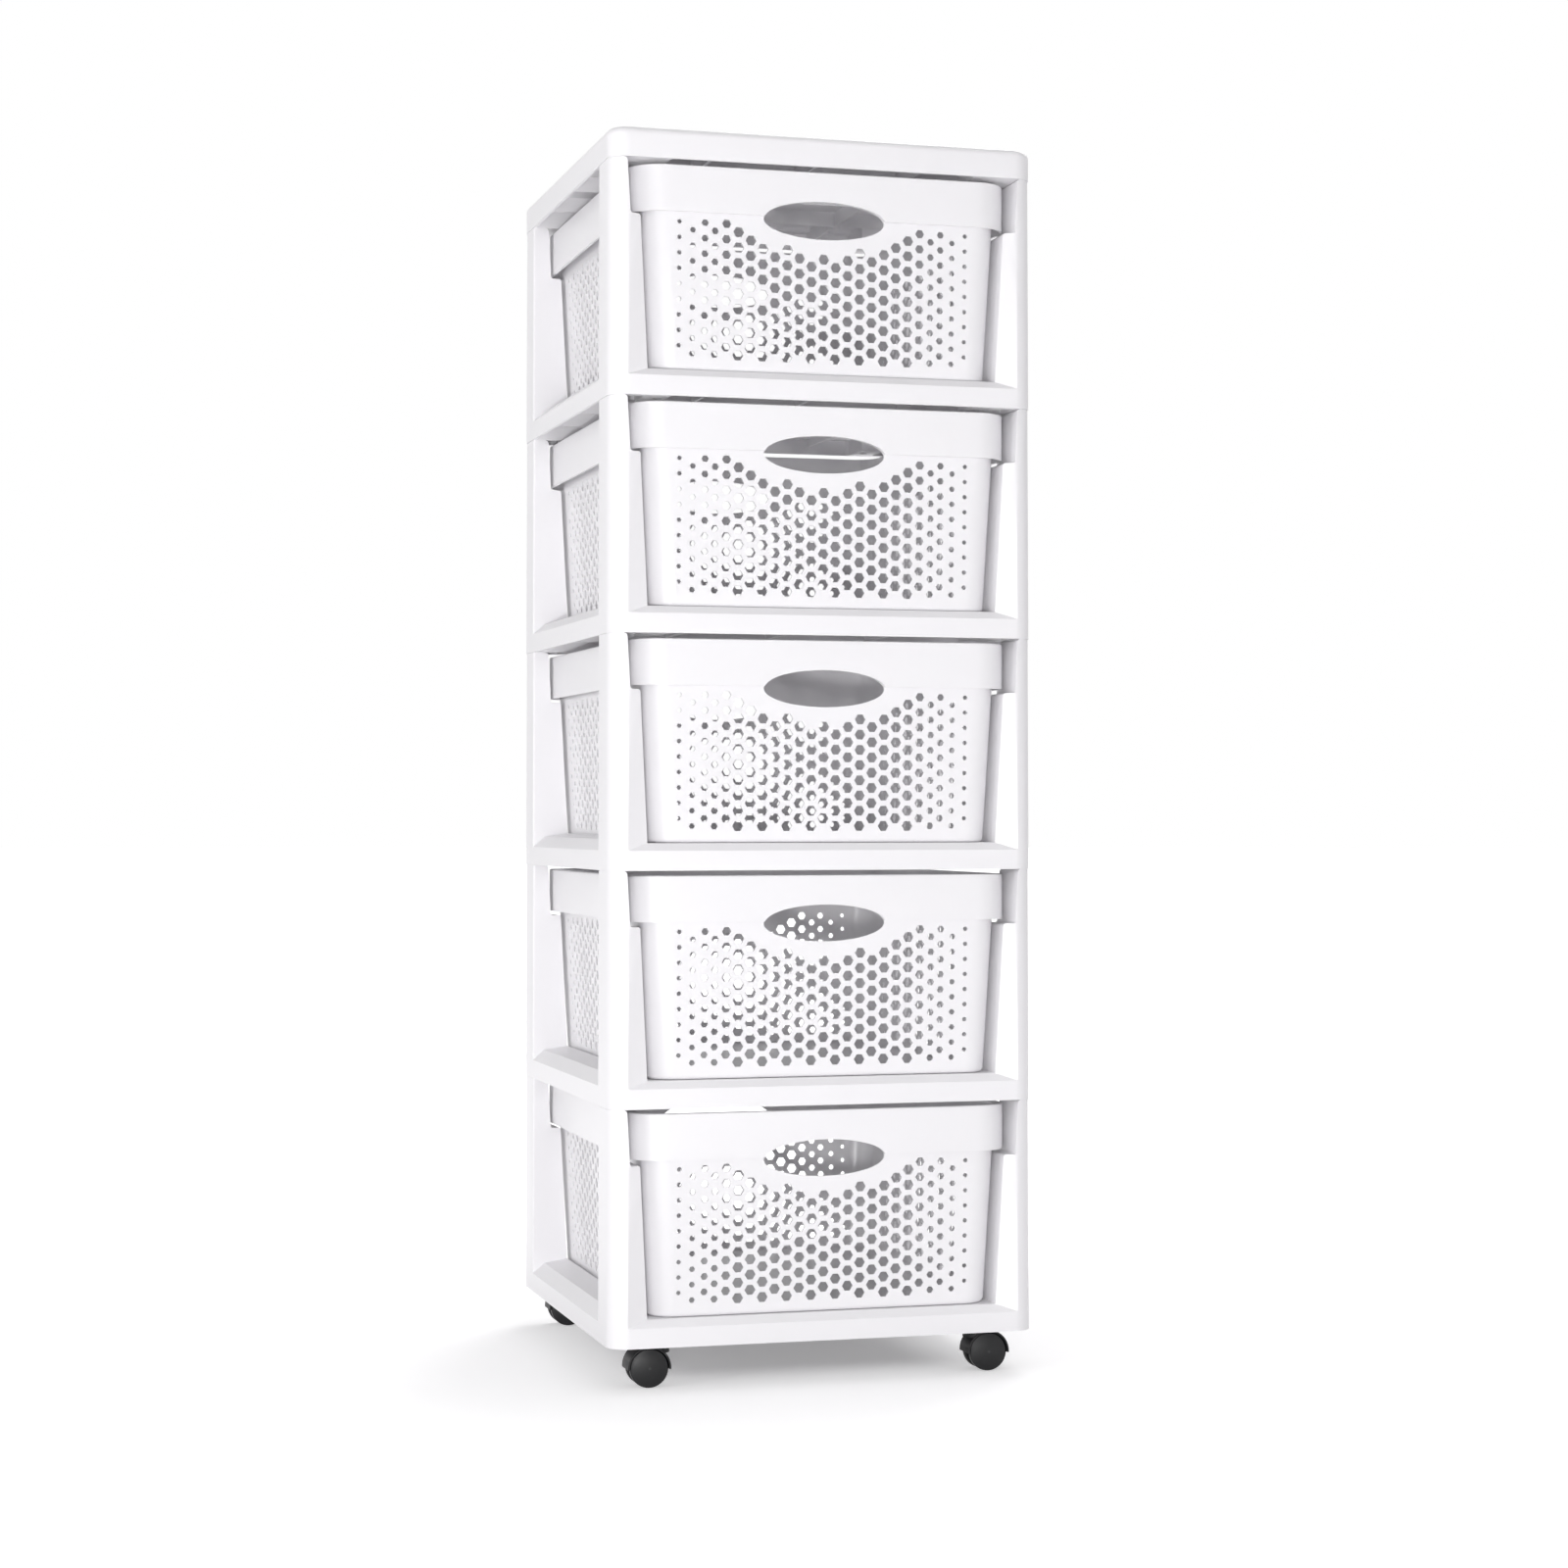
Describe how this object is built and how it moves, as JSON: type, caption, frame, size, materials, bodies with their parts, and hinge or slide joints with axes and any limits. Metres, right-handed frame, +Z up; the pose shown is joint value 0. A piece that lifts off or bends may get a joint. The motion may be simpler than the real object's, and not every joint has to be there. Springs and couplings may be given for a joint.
{
  "type": "drawer tower",
  "caption": "Tall drawer tower: stacked open frames hold perforated pull-out drawers under a flat cover, on small twin-wheel castors.",
  "frame": {"origin": "on the floor, under the centre of the tower's plan", "axes": "+X to the right seen from the front, drawers open towards -Y, +Z up"},
  "size_m": [0.358, 0.364, 1.0085],
  "materials": {
    "frame_plastic": "satin white",
    "drawer_plastic": "satin white",
    "wheel_plastic": "satin black",
    "hood_plastic": "satin black",
    "pin_steel": "zinc plated"
  },
  "bodies": {
    "frame": {"tier_frame_1": "frame_plastic", "tier_frame_2": "frame_plastic", "tier_frame_3": "frame_plastic", "tier_frame_4": "frame_plastic", "tier_frame_5": "frame_plastic", "top_cover": "frame_plastic", "castor_front_left_grip_ring": "pin_steel", "castor_front_right_grip_ring": "pin_steel", "castor_rear_left_grip_ring": "pin_steel", "castor_rear_right_grip_ring": "pin_steel"},
    "drawer_1": {"drawer_1": "drawer_plastic"},
    "drawer_2": {"drawer_2": "drawer_plastic"},
    "drawer_3": {"drawer_3": "drawer_plastic"},
    "drawer_4": {"drawer_4": "drawer_plastic"},
    "drawer_5": {"drawer_5": "drawer_plastic"},
    "castor_front_left": {"castor_front_left_hood": "hood_plastic", "castor_front_left_stem": "pin_steel", "castor_front_left_axle": "pin_steel"},
    "castor_front_left_outer_wheel": {"castor_front_left_outer_wheel": "wheel_plastic"},
    "castor_front_left_inner_wheel": {"castor_front_left_inner_wheel": "wheel_plastic"},
    "castor_front_right": {"castor_front_right_hood": "hood_plastic", "castor_front_right_stem": "pin_steel", "castor_front_right_axle": "pin_steel"},
    "castor_front_right_outer_wheel": {"castor_front_right_outer_wheel": "wheel_plastic"},
    "castor_front_right_inner_wheel": {"castor_front_right_inner_wheel": "wheel_plastic"},
    "castor_rear_left": {"castor_rear_left_hood": "hood_plastic", "castor_rear_left_stem": "pin_steel", "castor_rear_left_axle": "pin_steel"},
    "castor_rear_left_outer_wheel": {"castor_rear_left_outer_wheel": "wheel_plastic"},
    "castor_rear_left_inner_wheel": {"castor_rear_left_inner_wheel": "wheel_plastic"},
    "castor_rear_right": {"castor_rear_right_hood": "hood_plastic", "castor_rear_right_stem": "pin_steel", "castor_rear_right_axle": "pin_steel"},
    "castor_rear_right_outer_wheel": {"castor_rear_right_outer_wheel": "wheel_plastic"},
    "castor_rear_right_inner_wheel": {"castor_rear_right_inner_wheel": "wheel_plastic"}
  },
  "joints": [
    {"name": "drawer_1_slide", "type": "slide", "parent": "frame", "child": "drawer_1", "axis": [0, -1, 0], "range_m": [0, 0.26]},
    {"name": "drawer_2_slide", "type": "slide", "parent": "frame", "child": "drawer_2", "axis": [0, -1, 0], "range_m": [0, 0.26]},
    {"name": "drawer_3_slide", "type": "slide", "parent": "frame", "child": "drawer_3", "axis": [0, -1, 0], "range_m": [0, 0.26]},
    {"name": "drawer_4_slide", "type": "slide", "parent": "frame", "child": "drawer_4", "axis": [0, -1, 0], "range_m": [0, 0.26]},
    {"name": "drawer_5_slide", "type": "slide", "parent": "frame", "child": "drawer_5", "axis": [0, -1, 0], "range_m": [0, 0.26]},
    {"name": "castor_front_left_swivel", "type": "hinge", "parent": "frame", "child": "castor_front_left", "pos_m": [-0.136, -0.1575, 0.034], "axis": [0, 0, 1], "continuous": true},
    {"name": "castor_front_left_outer_wheel_spin", "type": "hinge", "parent": "castor_front_left", "child": "castor_front_left_outer_wheel", "pos_m": [-0.1435, -0.1575, 0.01575], "axis": [0, 1, 0], "continuous": true},
    {"name": "castor_front_left_inner_wheel_spin", "type": "hinge", "parent": "castor_front_left", "child": "castor_front_left_inner_wheel", "pos_m": [-0.1435, -0.1575, 0.01575], "axis": [0, 1, 0], "continuous": true},
    {"name": "castor_front_right_swivel", "type": "hinge", "parent": "frame", "child": "castor_front_right", "pos_m": [0.136, -0.1575, 0.034], "axis": [0, 0, 1], "continuous": true},
    {"name": "castor_front_right_outer_wheel_spin", "type": "hinge", "parent": "castor_front_right", "child": "castor_front_right_outer_wheel", "pos_m": [0.1435, -0.1575, 0.01575], "axis": [0, 1, 0], "continuous": true},
    {"name": "castor_front_right_inner_wheel_spin", "type": "hinge", "parent": "castor_front_right", "child": "castor_front_right_inner_wheel", "pos_m": [0.1435, -0.1575, 0.01575], "axis": [0, 1, 0], "continuous": true},
    {"name": "castor_rear_left_swivel", "type": "hinge", "parent": "frame", "child": "castor_rear_left", "pos_m": [-0.136, 0.1575, 0.034], "axis": [0, 0, 1], "continuous": true},
    {"name": "castor_rear_left_outer_wheel_spin", "type": "hinge", "parent": "castor_rear_left", "child": "castor_rear_left_outer_wheel", "pos_m": [-0.1435, 0.1575, 0.01575], "axis": [0, 1, 0], "continuous": true},
    {"name": "castor_rear_left_inner_wheel_spin", "type": "hinge", "parent": "castor_rear_left", "child": "castor_rear_left_inner_wheel", "pos_m": [-0.1435, 0.1575, 0.01575], "axis": [0, 1, 0], "continuous": true},
    {"name": "castor_rear_right_swivel", "type": "hinge", "parent": "frame", "child": "castor_rear_right", "pos_m": [0.136, 0.1575, 0.034], "axis": [0, 0, 1], "continuous": true},
    {"name": "castor_rear_right_outer_wheel_spin", "type": "hinge", "parent": "castor_rear_right", "child": "castor_rear_right_outer_wheel", "pos_m": [0.1435, 0.1575, 0.01575], "axis": [0, 1, 0], "continuous": true},
    {"name": "castor_rear_right_inner_wheel_spin", "type": "hinge", "parent": "castor_rear_right", "child": "castor_rear_right_inner_wheel", "pos_m": [0.1435, 0.1575, 0.01575], "axis": [0, 1, 0], "continuous": true}
  ]
}
